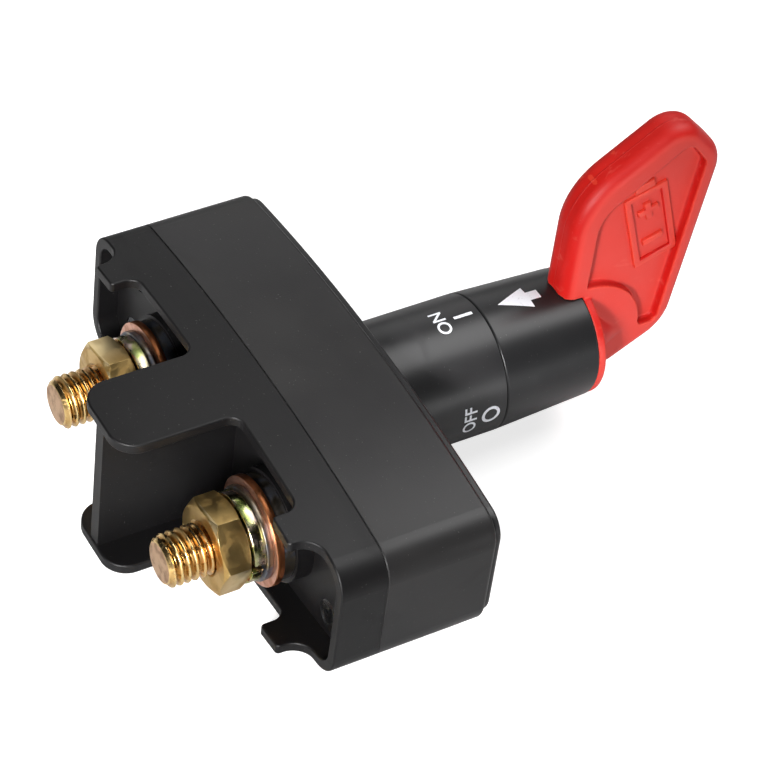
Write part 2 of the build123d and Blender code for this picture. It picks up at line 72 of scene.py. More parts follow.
# ---- sizes, millimetres ----
thread_pitch = 1.5
thread_depth = 0.92
thread_steps = 64
stud_radius = 5.0
stud_tip_radius = 3.95
stud_head_top = 23.0
stud_head_side = 15.0
stud_head_edge = 0.4
stud_tip_short = 0.12
tip_rounding = ((0.35, 0.07), (1.2, 0.05))
thread_overlap = 0.2
washer_bore = 5.25
washer_edge = 0.16
nut_bore = 4.51
nut_sink = 5.35
nut_sink_depth = 0.75
nut_edge = 0.22
split_gap = math.radians(9)
split_rise = 0.45
split_edge = 0.2
ring_steps = 96
hard_corner = math.radians(50)

neck_radius = 13.55
collar_start = 22.6
collar_end = 43.5
collar_tip_radius = 12.6
print_thickness = 0.03
arrow_tip = -26.7
arrow_shoulder = -33.3
arrow_tail = -35.7
arrow_half_width = 2.75
arrow_half_shaft = 1.05
letter_height = 2.6
capital_share = 0.69
letter_line = -15.6
sign_line = -21.0
sign_height = 3.9
sign_stroke = 0.64
ring_stroke = 0.62
off_line_shift = 0.3
bend_step = 0.25
weld = 0.002

recess_floor = 2.1
relief_height = 0.7
relief_sunk = 0.4
relief_edge = 0.25
battery_width = 9.4
battery_height = 19.4
battery_stroke = 1.4
battery_cap = (4.4, 1.9)
battery_cap_line = 11.0
plus_line = 4.1
plus_arm = 2.2
minus_width = 4.4
relief_middle = (-57.0, 25.0)
relief_tilt = math.radians(-17)
screw_head_radius = 3.2
slot_arm = 1.7
slot_half_width = 0.4
slot_thickness = 0.06
floor_glow = 0.76
sky_glow = 0.75
handle_voxel = 0.3
flash_half_width = 0.14


# ---- finishes ----
def srgb(red, green, blue):
    """A linear colour from the eight-bit values a paint chart gives."""
    def line(value):
        share = value / 255
        return share / 12.92 if share <= 0.04045 else ((share + 0.055) / 1.055) ** 2.4
    return (line(red), line(green), line(blue), 1.0)


class Finish:
    """A material under way: its nodes and the few mixes every finish here is made of."""

    def __init__(self, name, metal=0.0, rough=0.5):
        self.material = bpy.data.materials.new(name)
        self.material.use_nodes = True
        self.nodes = self.material.node_tree.nodes
        self.links = self.material.node_tree.links
        self.shader = self.nodes["Principled BSDF"]
        self.shader.inputs["Metallic"].default_value = metal
        self.shader.inputs["Roughness"].default_value = rough
        self.place = self.nodes.new("ShaderNodeTexCoord").outputs["Object"]
        self.normal = None

    def stretched(self, scale):
        mapping = self.nodes.new("ShaderNodeMapping")
        mapping.inputs["Scale"].default_value = scale
        self.links.new(self.place, mapping.inputs["Vector"])
        return mapping.outputs["Vector"]

    def cloud(self, size, detail=3.0, stretch=None, warp=0.0):
        """Soft patches about size millimetres across."""
        noise = self.nodes.new("ShaderNodeTexNoise")
        noise.inputs["Scale"].default_value = 1 / mm(size)
        noise.inputs["Detail"].default_value = detail
        noise.inputs["Distortion"].default_value = warp
        self.links.new(self.stretched(stretch) if stretch else self.place, noise.inputs["Vector"])
        return noise.outputs["Fac"]

    def along(self, axis):
        split = self.nodes.new("ShaderNodeSeparateXYZ")
        self.links.new(self.place, split.inputs["Vector"])
        return split.outputs[axis]

    def facing(self, axis):
        """How much the surface faces along the axis, from -1 to 1."""
        split = self.nodes.new("ShaderNodeSeparateXYZ")
        self.links.new(self.nodes.new("ShaderNodeTexCoord").outputs["Normal"], split.inputs["Vector"])
        return split.outputs[axis]

    def edges(self):
        return self.nodes.new("ShaderNodeNewGeometry").outputs["Pointiness"]

    def between(self, value, low, high, low_out=0.0, high_out=1.0):
        """The value spread from low..high to low_out..high_out, and clamped."""
        spread = self.nodes.new("ShaderNodeMapRange")
        spread.interpolation_type = "SMOOTHSTEP"
        ends = {"From Min": low, "From Max": high, "To Min": low_out, "To Max": high_out}
        for socket, number in ends.items():
            spread.inputs[socket].default_value = number
        self.links.new(value, spread.inputs["Value"])
        return spread.outputs["Result"]

    def both(self, first, second, how="MULTIPLY"):
        maths = self.nodes.new("ShaderNodeMath")
        maths.operation = how
        maths.use_clamp = True
        for socket, value in zip(maths.inputs, (first, second)):
            if isinstance(value, float):
                socket.default_value = value
            else:
                self.links.new(value, socket)
        return maths.outputs["Value"]

    def mix(self, share, first, second):
        mixer = self.nodes.new("ShaderNodeMix")
        mixer.data_type = "RGBA"
        colours = [socket for socket in mixer.inputs if socket.type == "RGBA"]
        for socket, value in zip(colours, (first, second)):
            if isinstance(value, tuple):
                socket.default_value = value
            else:
                self.links.new(value, socket)
        self.links.new(share, mixer.inputs["Factor"])
        return next(socket for socket in mixer.outputs if socket.type == "RGBA")

    def bump(self, height, depth):
        """Raises the surface by up to depth millimetres, on top of any earlier bump."""
        bump = self.nodes.new("ShaderNodeBump")
        bump.inputs["Distance"].default_value = mm(depth)
        bump.inputs["Strength"].default_value = 1.0
        self.links.new(height, bump.inputs["Height"])
        if self.normal:
            self.links.new(self.normal, bump.inputs["Normal"])
        self.normal = bump.outputs["Normal"]

    def done(self, colour, rough=None):
        self.links.new(colour, self.shader.inputs["Base Color"])
        if rough:
            self.links.new(rough, self.shader.inputs["Roughness"])
        if self.normal:
            self.links.new(self.normal, self.shader.inputs["Normal"])
        return self.material


def moulded_black(name, deep, pale, rough_low, rough_high, grain):
    """Satin injection-moulded case plastic with a fine spark grain, faint flow marks and dust."""
    made = Finish(name)
    made.shader.inputs["Specular IOR Level"].default_value = 0.34
    cloudy = made.between(made.cloud(26, 4), 0.32, 0.7)
    fine = made.cloud(0.28, 2)
    dust = made.between(made.cloud(0.42, 1), 0.74, 0.8)
    rubs = made.between(made.cloud(7, 5, (0.25, 1.0, 1.0), 0.6), 0.55, 0.75)
    colour = made.mix(cloudy, deep, pale)
    colour = made.mix(made.both(rubs, 0.25), colour, pale)
    colour = made.mix(made.both(dust, 0.16), colour, srgb(150, 148, 144))
    made.bump(fine, grain)
    made.bump(made.cloud(9, 2), 0.02)
    rough = made.between(made.both(made.both(cloudy, rubs, "ADD"), 0.5), 0.0, 1.0, rough_low, rough_high)
    return made.done(colour, rough)


def handle_red():
    """Semi-gloss red plastic with painted sheen: the flats facing either side are painted paler, while
    edges and recess walls keep the deeper red.
    """
    made = Finish("moulded_red")
    made.shader.inputs["Specular IOR Level"].default_value = 0.32
    made.shader.inputs["Subsurface Weight"].default_value = 0.06
    made.shader.inputs["Subsurface Radius"].default_value = (0.004, 0.001, 0.0006)
    made.shader.inputs["Subsurface Scale"].default_value = 0.4
    cloudy = made.between(made.cloud(14, 4), 0.3, 0.72)
    sides = made.between(made.both(made.facing("X"), made.facing("X")), 0.55, 0.98)
    worn = made.between(made.edges(), 0.505, 0.56)
    scuffs = made.between(made.cloud(2.2, 6, (1.0, 0.35, 1.0), 1.2), 0.6, 0.72)
    specks = made.between(made.cloud(0.5, 1), 0.73, 0.79)
    colour = made.mix(cloudy, srgb(180, 17, 12), srgb(190, 24, 17))
    # Painted sheen: faces turned towards either side are painted paler red.
    colour = made.mix(made.both(sides, 0.75), colour, srgb(208, 66, 57))
    colour = made.mix(made.both(worn, 0.3), colour, srgb(236, 86, 60))
    colour = made.mix(made.both(scuffs, 0.18), colour, srgb(222, 112, 100))
    colour = made.mix(made.both(specks, 0.05), colour, srgb(236, 180, 170))
    off_middle = made.both(made.along("X"), made.along("X"))
    seam = made.between(off_middle, 0.0, mm(flash_half_width) ** 2, 1.0, 0.0)
    made.bump(seam, 0.06)
    made.bump(made.cloud(0.45, 3), 0.012)
    rough = made.between(made.both(cloudy, scuffs, "ADD"), 0.0, 1.0, 0.44, 0.6)
    return made.done(colour, rough)


def turned_brass():
    """Golden turned thread with painted highlights on the crests and painted shade in the roots, browner
    towards the nut, with a stained sawn end.
    """
    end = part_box("battery_stud")[1].y
    made = Finish("turned_brass", metal=1.0)
    crest_highlight_and_root_shade = made.between(made.edges(), 0.47, 0.54)
    tarnish = made.between(made.cloud(2.4, 5, None, 0.5), 0.42, 0.7)
    near_nut = made.between(made.along("Y"), end - mm(9.5), end - mm(3.0), 1.0, 0.0)
    # Painted light: the crests are painted lighter as a highlight and the roots darker as shade.
    colour = made.mix(crest_highlight_and_root_shade, srgb(190, 142, 76), srgb(246, 214, 150))
    colour = made.mix(made.both(tarnish, 0.35), colour, srgb(190, 138, 70))
    colour = made.mix(made.both(near_nut, 0.4), colour, srgb(196, 134, 78))
    end_face = made.between(made.facing("Y"), 0.9, 0.97)
    stains = made.between(made.cloud(1.8, 5), 0.42, 0.7)
    face = made.mix(stains, srgb(205, 172, 140), srgb(158, 124, 96))
    colour = made.mix(end_face, colour, face)
    lathe = made.cloud(0.25, 2, (0.08, 3.0, 0.08))
    made.bump(lathe, 0.003)
    made.bump(made.cloud(0.7, 4), 0.008)
    rough = made.between(made.both(tarnish, end_face, "ADD"), 0.0, 1.0, 0.2, 0.46)
    return made.done(colour, rough)


def stained_brass():
    """Olive-gold nut brass with brown handling stains and bright rubbed edges."""
    made = Finish("stained_brass", metal=1.0)
    stains = made.between(made.cloud(3.4, 7, None, 0.5), 0.4, 0.7)
    blots = made.between(made.cloud(2.2, 7, None, 0.15), 0.54, 0.78)
    rubbed = made.between(made.edges(), 0.51, 0.6)
    colour = made.mix(stains, srgb(210, 176, 110), srgb(186, 150, 88))
    colour = made.mix(made.both(blots, 0.3), colour, srgb(130, 94, 50))
    colour = made.mix(made.both(rubbed, 0.75), colour, srgb(250, 228, 176))
    made.bump(made.cloud(0.6, 4), 0.004)
    made.bump(made.cloud(0.2, 1, (1.0, 0.1, 1.0)), 0.002)
    rough = made.between(made.both(stains, blots, "ADD"), 0.0, 1.0, 0.3, 0.48)
    return made.done(colour, rough)


def pink_copper():
    """Dull pink copper washer faces with an orange cut rim."""
    made = Finish("pink_copper", metal=1.0)
    stains = made.between(made.cloud(3.0, 5, None, 0.6), 0.4, 0.68)
    face = made.both(made.facing("Y"), made.facing("Y"))
    colour = made.mix(made.between(face, 0.3, 0.9), srgb(196, 122, 78), srgb(222, 170, 146))
    colour = made.mix(made.both(stains, 0.5), colour, srgb(150, 88, 58))
    made.bump(made.cloud(0.5, 3), 0.005)
    return made.done(colour, made.between(stains, 0.0, 1.0, 0.3, 0.48))


def yellow_zinc():
    """Chromated zinc: pinkish white that runs to yellow-green round the ring."""
    made = Finish("yellow_zinc", metal=1.0)
    bands = made.between(made.cloud(6.5, 2, None, 1.4), 0.4, 0.6)
    greens = made.between(made.cloud(4.0, 3, None, 0.8), 0.5, 0.64)
    colour = made.mix(bands, srgb(236, 214, 200), srgb(208, 208, 140))
    colour = made.mix(made.both(greens, 0.8), colour, srgb(150, 172, 84))
    colour = made.mix(made.between(made.cloud(2.4, 3), 0.62, 0.72), colour, srgb(180, 128, 132))
    made.bump(made.cloud(0.4, 3), 0.012)
    return made.done(colour, made.between(made.cloud(3, 3), 0.35, 0.65, 0.16, 0.34))


def dull_zinc():
    """Dull passivated plate, grey with brown and bluish bloom."""
    made = Finish("dull_zinc", metal=1.0)
    bloom = made.between(made.cloud(3.4, 4, None, 0.7), 0.38, 0.64)
    colour = made.mix(bloom, srgb(150, 138, 120), srgb(112, 116, 128))
    colour = made.mix(made.between(made.cloud(1.2, 4), 0.6, 0.7, 0.0, 0.5), colour, srgb(84, 62, 46))
    made.bump(made.cloud(0.5, 3), 0.015)
    return made.done(colour, made.between(bloom, 0.0, 1.0, 0.3, 0.48))


def plain_metal(name, light, dark, rough_low, rough_high):
    """Inner hardware: clean metal with faint drawing lines and finger marks."""
    made = Finish(name, metal=1.0)
    marks = made.between(made.cloud(5, 4, None, 0.4), 0.35, 0.68)
    made.bump(made.cloud(0.3, 2, (1.0, 0.15, 1.0)), 0.006)
    return made.done(made.mix(marks, light, dark), made.between(marks, 0.0, 1.0, rough_low, rough_high))


def plain_moulding(name, light, dark, rough_low, rough_high, grain):
    """Inner rubber and plastic: matt, softly mottled, with a moulded grain."""
    made = Finish(name)
    mottle = made.between(made.cloud(5, 4), 0.32, 0.68)
    made.bump(made.cloud(0.4, 3), grain)
    return made.done(made.mix(mottle, light, dark), made.between(mottle, 0.0, 1.0, rough_low, rough_high))


def print_white():
    """Pad-printed white ink, thin in places."""
    made = Finish("print_white", rough=0.5)
    thin = made.between(made.cloud(0.5, 4), 0.56, 0.74)
    colour = made.mix(made.both(thin, 0.5), srgb(236, 238, 244), srgb(168, 170, 178))
    made.bump(made.cloud(0.3, 2), 0.004)
    return made.done(colour, made.between(thin, 0.0, 1.0, 0.42, 0.6))


case_black = moulded_black("case_black", srgb(26, 25, 26), srgb(35, 34, 34), 0.38, 0.52, 0.012)
# The shroud gets a much darker copy of the case plastic: painted shade for the deep terminal bay.
shroud_black_painted_shade = moulded_black("shroud_black_painted_shade", srgb(7, 6, 7), srgb(12, 11, 12), 0.46, 0.6, 0.012)
neck_black = moulded_black("neck_black", srgb(34, 34, 35), srgb(44, 43, 44), 0.34, 0.46, 0.006)
collar_black = moulded_black("collar_black", srgb(28, 28, 29), srgb(38, 38, 39), 0.32, 0.44, 0.004)
finishes = {
    "case_plastic": case_black,
    "collar_plastic": collar_black,
    "handle_plastic": handle_red(),
    "stud_brass": turned_brass(),
    "nut_brass": stained_brass(),
    "copper": pink_copper(),
    "zinc_steel": yellow_zinc(),
    "dull_zinc": dull_zinc(),
    "silver": plain_metal("silver_tips", srgb(226, 224, 220), srgb(188, 184, 178), 0.2, 0.34),
    "screw_steel": plain_metal("screw_steel", srgb(186, 187, 190), srgb(140, 141, 146), 0.24, 0.4),
    "spring_steel": plain_metal("spring_steel", srgb(150, 154, 162), srgb(104, 106, 114), 0.22, 0.36),
    "seal_rubber": plain_moulding("seal_rubber", srgb(40, 40, 40), srgb(28, 28, 28), 0.6, 0.78, 0.02),
    "thermoset": plain_moulding("brown_thermoset", srgb(92, 62, 46), srgb(70, 46, 34), 0.45, 0.62, 0.02),
    "bush_plastic": plain_moulding(
        "natural_acetal", srgb(232, 228, 214), srgb(214, 208, 192), 0.32, 0.46, 0.01,
    ),
}
ink = print_white()


# ---- pieces ----
def cover(piece, finish):
    piece.data.materials.clear()
    piece.data.materials.append(finish)


def piece_from(name, shape, body, finish, stands_for=(), sharp=math.radians(32)):
    """Makes the shape an object that rides on a body, and hides the nodes it stands for."""
    mesh = bpy.data.meshes.new(name)
    shape.to_mesh(mesh)
    shape.free()
    mesh.shade_smooth()
    mesh.set_sharp_from_angle(angle=sharp)
    piece = bpy.data.objects.new(name, mesh)
    scene.collection.objects.link(piece)
    cover(piece, finish)
    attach(piece, body)
    if stands_for:
        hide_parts(*stands_for)
    return piece


def merged_copy(node):
    """A welded copy of a node's mesh, its flat faces whole again."""
    shape = bmesh.new()
    shape.from_mesh(frame["nodes"][node].data)
    bmesh.ops.remove_doubles(shape, verts=shape.verts, dist=mm(weld))
    bmesh.ops.dissolve_limit(shape, angle_limit=math.radians(0.5), verts=shape.verts, edges=shape.edges)
    return shape


def close_holes(shape):
    open_edges = [edge for edge in shape.edges if edge.is_boundary]
    bmesh.ops.holes_fill(shape, edges=open_edges, sides=0)


def soften(shape, width):
    """Rounds every edge that turns sharply."""
    hard = [edge for edge in shape.edges if edge.is_manifold and edge.calc_face_angle(0) > hard_corner]
    bmesh.ops.bevel(
        shape, geom=hard, offset=mm(width), offset_type="OFFSET", affect="EDGES",
        segments=3, profile=0.5, material=-1, clamp_overlap=True,
    )


def spun_ring(x, start, end, inner, outer, edge, gap=0.0, rise=0.0):
    """A flat ring about the line through x along Y, or a split coil with a gap that rises."""
    shape = bmesh.new()
    corners = [(inner, start), (outer, start), (outer, end), (inner, end)]
    outline = [shape.verts.new((x - mm(radius), y, 0)) for radius, y in corners]
    sides = [shape.edges.new((outline[i], outline[(i + 1) % 4])) for i in range(4)]
    bmesh.ops.rotate(shape, verts=outline, cent=(x, 0, 0), matrix=Matrix.Rotation(gap / 2, 3, "Y"))
    bmesh.ops.spin(
        shape, geom=outline + sides, cent=(x, 0, 0), axis=(0, 1, 0), dvec=(0, mm(rise) / ring_steps, 0),
        angle=2 * math.pi - gap, steps=ring_steps, use_merge=not gap, use_duplicate=False,
    )
    bmesh.ops.remove_doubles(shape, verts=shape.verts, dist=mm(weld))
    if gap:
        close_holes(shape)
    bmesh.ops.recalc_face_normals(shape, faces=shape.faces)
    soften(shape, edge)
    return shape


def thread(shape, x, start, end):
    """A right-handed thread from start to end, with a chamfered tip."""
    rise = ((0.0, 0.0), (0.1, 0.03), (0.25, 0.46), (0.4, 0.93), (0.5, 1.0))
    profile = rise + tuple((1 - share, height) for share, height in rise[:0:-1][1:])
    root = stud_radius - thread_depth
    turns = math.ceil((end - start) / mm(thread_pitch)) + 2
    low = start - mm(thread_pitch)
    line = []
    for turn in range(turns):
        for share, height in profile:
            y = low + mm(thread_pitch) * (turn + share)
            line.append(shape.verts.new((x + mm(root + thread_depth * height), y, 0)))
    chain = [shape.edges.new(pair) for pair in zip(line, line[1:])]
    bmesh.ops.spin(
        shape, geom=line + chain, cent=(x, 0, 0), axis=(0, 1, 0),
        dvec=(0, mm(thread_pitch) / thread_steps, 0), angle=2 * math.pi, steps=thread_steps,
        use_merge=False, use_duplicate=False,
    )
    bmesh.ops.remove_doubles(shape, verts=shape.verts, dist=mm(0.01))
    for y, outward in ((start, -1), (end, 1)):
        everything = list(shape.verts) + list(shape.edges) + list(shape.faces)
        bmesh.ops.bisect_plane(
            shape, geom=everything, plane_co=(0, y, 0), plane_no=(0, outward, 0), clear_outer=True,
        )
    for corner in shape.verts:
        reach = mm(stud_tip_radius) + (end - corner.co.y)
        radius = math.hypot(corner.co.x - x, corner.co.z)
        if radius > reach:
            corner.co.x = x + (corner.co.x - x) * reach / radius
            corner.co.z *= reach / radius
    close_holes(shape)
    tip = [face for face in shape.faces
           if len(face.verts) > 20 and abs(face.calc_center_median().y - end) < mm(0.01)]
    for inset, lift in tip_rounding:
        bmesh.ops.inset_region(shape, faces=tip, thickness=mm(inset), depth=0)
        for corner in {corner for face in tip for corner in face.verts}:
            corner.co.y += mm(lift)


def threaded_stud(name, x):
    low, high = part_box(f"{name}_stud")
    shape = bmesh.new()
    thread(shape, x, mm(stud_head_top - thread_overlap), high.y - mm(stud_tip_short))
    head = bmesh.ops.create_cube(shape, size=1.0)["verts"]
    thick = mm(stud_head_top) - low.y
    bmesh.ops.scale(shape, verts=head, vec=(mm(stud_head_side), thick, mm(stud_head_side)))
    bmesh.ops.translate(shape, verts=head, vec=(x, low.y + thick / 2, 0))
    edges = list({edge for corner in head for edge in corner.link_edges})
    bmesh.ops.bevel(
        shape, geom=edges, offset=mm(stud_head_edge), offset_type="OFFSET", affect="EDGES",
        segments=3, profile=0.5, material=-1, clamp_overlap=True,
    )
    bmesh.ops.recalc_face_normals(shape, faces=shape.faces)
    piece_from(f"{name}_threaded_stud", shape, "housing", finishes["stud_brass"],
               [f"{name}_stud"], sharp=math.radians(50))


def chamfered_nut(name, x):
    """The hexagon with rounded corners and a countersunk bore."""
    node = f"{name}_nut"
    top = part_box(node)[1].y
    shape = merged_copy(node)
    everything = list(shape.verts) + list(shape.edges) + list(shape.faces)
    sink_end = (0, top - mm(nut_sink_depth), 0)
    bmesh.ops.bisect_plane(shape, geom=everything, plane_co=sink_end, plane_no=(0, 1, 0))
    for corner in shape.verts:
        radius = math.hypot(corner.co.x - x, corner.co.z)
        if abs(radius - mm(nut_bore)) < mm(0.1) and abs(corner.co.y - top) < mm(0.01):
            corner.co.x = x + (corner.co.x - x) * nut_sink / nut_bore
            corner.co.z *= nut_sink / nut_bore
    brass = finishes["nut_brass"]
    piece = piece_from(
        f"{name}_hex_nut", shape, "housing", brass, [node], sharp=math.radians(40),
    )
    rounding = piece.modifiers.new("rounding", "BEVEL")
    rounding.width = mm(nut_edge)
    rounding.segments = 3
    rounding.limit_method = "ANGLE"
    rounding.angle_limit = math.radians(22)
    rounding.harden_normals = False


def terminal(name, x):
    threaded_stud(name, x)
    chamfered_nut(name, x)
    for part, slot, edge in (
        ("seat_ring", "dull_zinc", washer_edge), ("copper_washer", "copper", washer_edge),
        ("flat_washer", "dull_zinc", washer_edge),
    ):
        low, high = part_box(f"{name}_{part}")
        outer = (high.x - low.x) / 2 / mm(1)
        shape = spun_ring(x, low.y, high.y, washer_bore, outer, edge)
        piece_from(f"{name}_turned_{part}", shape, "housing", finishes[slot], [f"{name}_{part}"])
    low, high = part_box(f"{name}_spring_washer")
    outer = (high.z - low.z) / 2 / mm(1)
    end = high.y - mm(split_rise)
    shape = spun_ring(x, low.y, end, washer_bore, outer, split_edge, split_gap, split_rise)
    piece_from(f"{name}_split_washer", shape, "housing", finishes["zinc_steel"],
               [f"{name}_spring_washer"])


def raised_outline(shape, points, holes=()):
    """A flat stroke outline in the blade's plane, y then z in millimetres about the sign's middle."""
    loops = []
    for loop in (points, *holes):
        corners = [shape.verts.new((0, mm(across), mm(up))) for across, up in loop]
        following = corners[1:] + corners[:1]
        loops.append([shape.edges.new(pair) for pair in zip(corners, following)])
    if holes:
        bmesh.ops.bridge_loops(shape, edges=loops[0] + loops[1])
    else:
        shape.faces.new([edge.verts[0] for edge in loops[0]])


def box_points(width, height, middle=0.0):
    half = width / 2
    return [(-half, middle - height / 2), (half, middle - height / 2),
            (half, middle + height / 2), (-half, middle + height / 2)]


def plus_points(arm, half):
    return [(half, half), (half, arm), (-half, arm), (-half, half), (-arm, half), (-arm, -half),
            (-half, -half), (-half, -arm), (half, -arm), (half, -half), (arm, -half), (arm, half)]


def battery_sign(name, side):
    """A plain battery sign, a frame with a plus and a minus, raised in the recess."""
    shape = bmesh.new()
    inside = box_points(battery_width - 2 * battery_stroke, battery_height - 2 * battery_stroke)
    raised_outline(shape, box_points(battery_width, battery_height), [inside])
    raised_outline(shape, box_points(*battery_cap, battery_cap_line))
    plus = plus_points(plus_arm, battery_stroke / 2)
    raised_outline(shape, [(across, up + plus_line) for across, up in plus])
    raised_outline(shape, box_points(minus_width, battery_stroke, -plus_line))
    top = bmesh.ops.extrude_face_region(shape, geom=list(shape.faces))["geom"]
    raised = [item for item in top if isinstance(item, bmesh.types.BMVert)]
    bmesh.ops.translate(shape, verts=raised, vec=(mm(relief_height + relief_sunk), 0, 0))
    bmesh.ops.recalc_face_normals(shape, faces=shape.faces)
    brow = [edge for edge in shape.edges
            if all(corner in set(raised) for corner in edge.verts) and edge.calc_face_angle(0) > 0.7]
    bmesh.ops.bevel(
        shape, geom=brow, offset=mm(relief_edge), offset_type="OFFSET", affect="EDGES",
        segments=3, profile=0.5, material=-1, clamp_overlap=True,
    )
    bmesh.ops.translate(shape, verts=shape.verts, vec=(mm(recess_floor - relief_sunk), 0, 0))
    if side < 0:
        bmesh.ops.scale(shape, verts=shape.verts, vec=(-1, 1, 1))
    bmesh.ops.rotate(shape, verts=shape.verts, cent=(0, 0, 0), matrix=Matrix.Rotation(relief_tilt, 3, "X"))
    bmesh.ops.translate(shape, verts=shape.verts, vec=(0, mm(relief_middle[0]), mm(relief_middle[1])))
    bmesh.ops.recalc_face_normals(shape, faces=shape.faces)
    piece_from(name, shape, "knob", finishes["handle_plastic"], sharp=math.radians(60))


def painted_screw_slot_shade():
    """Dark crosses on the heads of the four case screws, painted shade standing in for their cross slots.
    """
    low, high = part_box("shell_screws")
    inset = mm(screw_head_radius)
    shape = bmesh.new()
    for x in (low.x + inset, high.x - inset):
        for z in (low.z + inset, high.z - inset):
            cross = plus_points(slot_arm, slot_half_width)
            raised_outline(shape, [(across + x / mm(1), up + z / mm(1)) for across, up in cross])
    top = bmesh.ops.extrude_face_region(shape, geom=list(shape.faces))["geom"]
    raised = [item for item in top if isinstance(item, bmesh.types.BMVert)]
    bmesh.ops.translate(shape, verts=raised, vec=(mm(-slot_thickness), 0, 0))
    turned = Matrix.Rotation(math.radians(-90), 3, "Z")
    bmesh.ops.rotate(shape, verts=shape.verts, cent=(0, 0, 0), matrix=turned)
    bmesh.ops.translate(shape, verts=shape.verts, vec=(0, high.y - mm(slot_thickness / 2), 0))
    bmesh.ops.recalc_face_normals(shape, faces=shape.faces)
    # Painted shade: a near-black cross sheet laid over each head in place of a recessed slot.
    dark = plain_metal("slot_shadow", srgb(46, 46, 48), srgb(26, 26, 28), 0.45, 0.6)
    piece_from("painted_screw_slot_shade", shape, "housing", dark)


def moulded_handle():
    """The blade and hub as one soft moulding."""
    shape = merged_copy("handle")
    bmesh.ops.triangulate(shape, faces=shape.faces)
    red = finishes["handle_plastic"]
    piece = piece_from("moulded_handle", shape, "knob", red, ["handle"])
    body = piece.modifiers.new("one_body", "REMESH")
    body.mode = "VOXEL"
    body.voxel_size = mm(handle_voxel)
    body.use_smooth_shade = True
    rounding = piece.modifiers.new("soft_edges", "SMOOTH")
    rounding.factor = 0.5
    rounding.iterations = 2
    settled = bpy.data.meshes.new_from_object(piece.evaluated_get(bpy.context.evaluated_depsgraph_get()))
    piece.modifiers.clear()
    piece.data = settled
    settled.shade_smooth()
    cover(piece, red)


# ---- printed marks ----
def collar_radius(y):
    share = (-y - collar_start) / (collar_end - collar_start)
    return neck_radius + (collar_tip_radius - neck_radius) * share


def wrap(name, flat, body, middle, line, radius_at):
    """Bends a flat mark, drawn in X and Y millimetres, round the neck and gives it the ink's thickness."""
    span = max(abs(corner.co.x) for corner in flat.verts)
    cuts = max(2, int(span / bend_step))
    for step in range(-cuts, cuts + 1):
        everything = list(flat.verts) + list(flat.edges) + list(flat.faces)
        across = (span * step / cuts, 0, 0)
        bmesh.ops.bisect_plane(flat, geom=everything, plane_co=across, plane_no=(1, 0, 0))
    bmesh.ops.triangulate(flat, faces=flat.faces)
    under = list(flat.faces)
    raised = bmesh.ops.extrude_face_region(flat, geom=under)["geom"]
    top = {item for item in raised if isinstance(item, bmesh.types.BMVert)}
    for corner in flat.verts:
        y = line + corner.co.y
        radius = radius_at(y) + (print_thickness if corner in top else -print_thickness)
        angle = middle + corner.co.x / radius_at(y)
        corner.co = Vector((mm(radius * math.sin(angle)), mm(y), mm(radius * math.cos(angle))))
    bmesh.ops.recalc_face_normals(flat, faces=flat.faces)
    return piece_from(name, flat, body, ink)


def lettering(text, height):
    """Plain capitals centred on x, standing on y 0, about height millimetres tall."""
    curve = bpy.data.curves.new(text, "FONT")
    curve.body = text
    curve.size = height / capital_share
    curve.align_x = "CENTER"
    curve.offset = 0.04
    holder = bpy.data.objects.new(text, curve)
    scene.collection.objects.link(holder)
    mesh = bpy.data.meshes.new_from_object(holder.evaluated_get(bpy.context.evaluated_depsgraph_get()))
    bpy.data.objects.remove(holder)
    shape = bmesh.new()
    shape.from_mesh(mesh)
    bpy.data.meshes.remove(mesh)
    bmesh.ops.remove_doubles(shape, verts=shape.verts, dist=0.0005)
    return shape


def flat_outline(points):
    shape = bmesh.new()
    shape.faces.new([shape.verts.new((x, y, 0)) for x, y in points])
    return shape


def on_sign():
    """A plain upright bar, the sign for on."""
    return flat_outline(box_points(sign_stroke, sign_height, sign_height / 2))


def off_sign():
    """A plain open ring, the sign for off."""
    shape = bmesh.new()
    middle = sign_height / 2
    ends = [shape.verts.new((radius, middle, 0)) for radius in (middle - ring_stroke, middle)]
    bmesh.ops.spin(
        shape, geom=ends + [shape.edges.new(ends)], cent=(0, middle, 0), axis=(0, 0, 1), dvec=(0, 0, 0),
        angle=2 * math.pi, steps=48, use_merge=True, use_duplicate=False,
    )
    return shape


def printed_marks():
    def neck(_):
        """The neck is as wide at every y."""
        return neck_radius

    off_side = -math.pi / 2
    off_line = letter_line - off_line_shift
    wrap("on_lettering", lettering("ON", letter_height), "housing", 0, letter_line, neck)
    wrap("on_sign", on_sign(), "housing", 0, sign_line, neck)
    wrap("off_lettering", lettering("OFF", letter_height), "housing", off_side, off_line, neck)
    wrap("off_sign", off_sign(), "housing", off_side, sign_line, neck)
    arrow = flat_outline([
        (0, arrow_tip), (-arrow_half_width, arrow_shoulder), (-arrow_half_shaft, arrow_shoulder),
        (-arrow_half_shaft, arrow_tail), (arrow_half_shaft, arrow_tail),
        (arrow_half_shaft, arrow_shoulder), (arrow_half_width, arrow_shoulder),
    ])
    wrap("pointer_arrow", arrow, "knob", 0, 0, collar_radius)


for sub_part in frame["record"]["subparts"]:
    cover(frame["nodes"][sub_part["node"]], finishes[sub_part["material_slot"]])
cover(frame["nodes"]["neck_housing"], neck_black)
# Darker shroud plastic, painted shade for the terminal bay.
cover(frame["nodes"]["rear_shroud"], shroud_black_painted_shade)
for side_name in ("battery", "load"):
    box_low, box_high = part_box(f"{side_name}_stud")
    terminal(side_name, (box_low.x + box_high.x) / 2)
moulded_handle()
battery_sign("sign_near", -1)
battery_sign("sign_far", 1)
painted_screw_slot_shade()
printed_marks()


